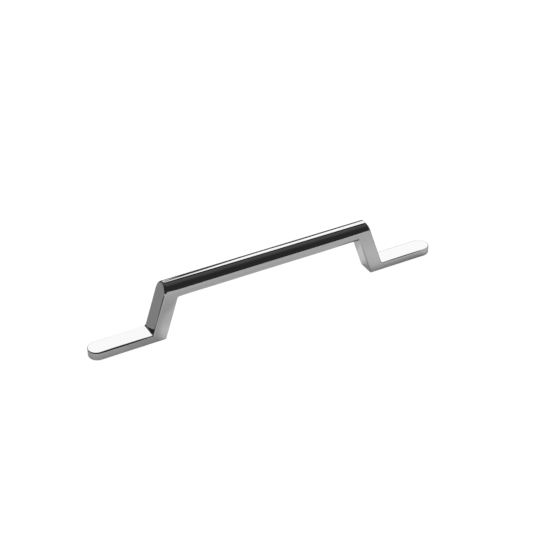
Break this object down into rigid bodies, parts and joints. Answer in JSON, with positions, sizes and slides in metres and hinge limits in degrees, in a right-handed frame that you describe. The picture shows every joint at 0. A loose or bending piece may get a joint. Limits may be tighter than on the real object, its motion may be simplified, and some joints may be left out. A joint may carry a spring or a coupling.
{
  "type": "cabinet pull handle",
  "caption": "Solid chrome pull handle: a dome-topped bar on inward-leaning legs with flat, round-ended feet, screwed from behind through a cabinet door or drawer front.",
  "frame": {"origin": "midway between the two screw holes, on the mounting plane under the feet", "axes": "+X along the bar, +Y across its width, +Z away from the door"},
  "size_m": [0.202, 0.0104, 0.0314],
  "materials": {
    "chrome_plate": "polished chrome plate on cast zinc alloy"
  },
  "bodies": {
    "root": {"pull_handle": "chrome_plate"}
  },
  "joints": []
}
